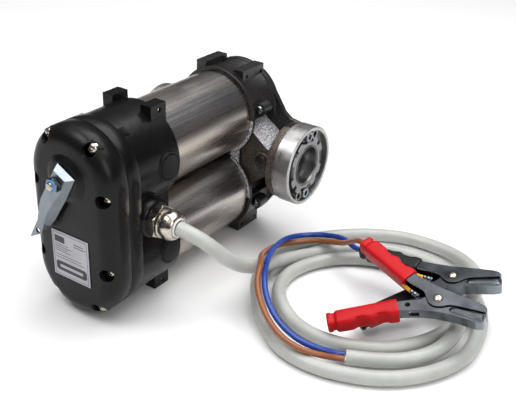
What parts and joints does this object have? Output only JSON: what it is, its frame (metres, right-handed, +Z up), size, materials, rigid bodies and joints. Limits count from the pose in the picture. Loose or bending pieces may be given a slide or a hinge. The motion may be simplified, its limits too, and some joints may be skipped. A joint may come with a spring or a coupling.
{
  "type": "fluid transfer pump",
  "caption": "Compact twin-motor 12 V vane pump for moving fuel, with a lever switch, round port flanges and a two-core lead ending in spring battery clamps.",
  "frame": {"origin": "centre of the pump's footprint on the ground, without the lead and its clamps", "axes": "+Z up, front cover and lever switch towards -Y, outlet flange and cable gland towards +X"},
  "size_m": [0.3501, 0.2777, 0.1554],
  "materials": {
    "black_plastic": "semi-gloss",
    "casting": "black gloss over a rough casting",
    "steel": "brushed, satin",
    "zinc": "bright zinc plate",
    "nickel": "nickel plate",
    "aluminium": "turned, satin",
    "label": "satin film",
    "white_seal": "matte",
    "grey_sheath": "smooth PVC",
    "blue_core": "smooth PVC",
    "brown_core": "smooth PVC",
    "red_sleeve": "soft PVC",
    "black_sleeve": "soft PVC",
    "magnet": "matte ferrite",
    "carbon": "matte graphite",
    "winding": "enamelled copper"
  },
  "bodies": {
    "pump": {"front_cover": "black_plastic", "brush_housing": "black_plastic", "label_plate": "label", "gland_body": "nickel", "gland_nut": "nickel", "gland_seal": "white_seal", "pump_body": "casting", "outlet_flange": "aluminium", "inlet_flange": "aluminium", "bypass_plug": "zinc", "bypass_spring": "steel", "power_cable": "grey_sheath", "core_blue": "blue_core", "core_brown": "brown_core", "cover_screw_1": "nickel", "cover_screw_2": "nickel", "cover_screw_3": "nickel", "cover_screw_4": "nickel", "cover_screw_5": "nickel", "cover_screw_6": "nickel", "cover_screw_7": "nickel", "cover_screw_8": "nickel", "brush_cap_right_upper": "black_plastic", "brush_cap_right_lower": "black_plastic", "brush_cap_left_upper": "black_plastic", "brush_cap_left_lower": "black_plastic", "carbon_brush_right_upper": "carbon", "carbon_brush_right_lower": "carbon", "carbon_brush_left_upper": "carbon", "carbon_brush_left_lower": "carbon", "motor_tube_upper": "steel", "motor_tube_lower": "steel", "field_magnet_upper": "magnet", "field_magnet_lower": "magnet", "rear_bearing_upper": "steel", "rear_bearing_lower": "steel", "rear_cover_upper": "casting", "rear_cover_lower": "casting", "outlet_bolt_upper": "zinc", "outlet_bolt_lower": "zinc", "inlet_bolt_upper": "zinc", "inlet_bolt_lower": "zinc", "clamp_upper_red": "zinc", "clamp_upper_black": "zinc", "clamp_sleeve_upper_red": "red_sleeve", "clamp_sleeve_upper_black": "black_sleeve", "clamp_rivet_red": "nickel", "clamp_rivet_black": "nickel"},
    "switch_lever_set": {"switch_lever": "zinc", "lever_nut": "zinc", "switch_shaft": "nickel"},
    "motor_shaft_lower": {"armature_lower": "winding", "vane_rotor_lower": "steel"},
    "motor_shaft_upper": {"armature_upper": "winding", "vane_rotor_upper": "steel"},
    "clamp_jaw_red": {"clamp_lower_red": "zinc", "clamp_sleeve_lower_red": "red_sleeve"},
    "clamp_jaw_black": {"clamp_lower_black": "zinc", "clamp_sleeve_lower_black": "black_sleeve"},
    "bypass_valve": {"bypass_poppet": "nickel"}
  },
  "joints": [
    {"name": "switch_lever_turn", "type": "hinge", "parent": "pump", "child": "switch_lever_set", "pos_m": [0, -0.1165, 0.1156], "axis": [0, -1, 0], "range_deg": [0, 56]},
    {"name": "motor_shaft_lower_spin", "type": "hinge", "parent": "pump", "child": "motor_shaft_lower", "pos_m": [0, 0.0165, 0.0421], "axis": [0, 1, 0], "continuous": true},
    {"name": "motor_shaft_upper_spin", "type": "hinge", "parent": "pump", "child": "motor_shaft_upper", "pos_m": [0, 0.0165, 0.1131], "axis": [0, 1, 0], "continuous": true},
    {"name": "clamp_red_open", "type": "hinge", "parent": "pump", "child": "clamp_jaw_red", "pos_m": [0.2326, 0.0245, 0.0382], "axis": [0.0401, 0.3565, -0.9335], "range_deg": [0, 25], "stiffness_Nm_per_rad": 0.8, "springref_deg": -22.92},
    {"name": "clamp_black_open", "type": "hinge", "parent": "pump", "child": "clamp_jaw_black", "pos_m": [0.2267, 0.0677, 0.0325], "axis": [0.0872, 0.2662, -0.96], "range_deg": [0, 25], "stiffness_Nm_per_rad": 0.8, "springref_deg": -22.92},
    {"name": "bypass_valve_lift", "type": "slide", "parent": "pump", "child": "bypass_valve", "axis": [0, -1, 0], "range_m": [0, 0.0015], "stiffness_N_per_m": 2000, "springref_m": -0.002, "deforming": ["bypass_spring"]}
  ]
}
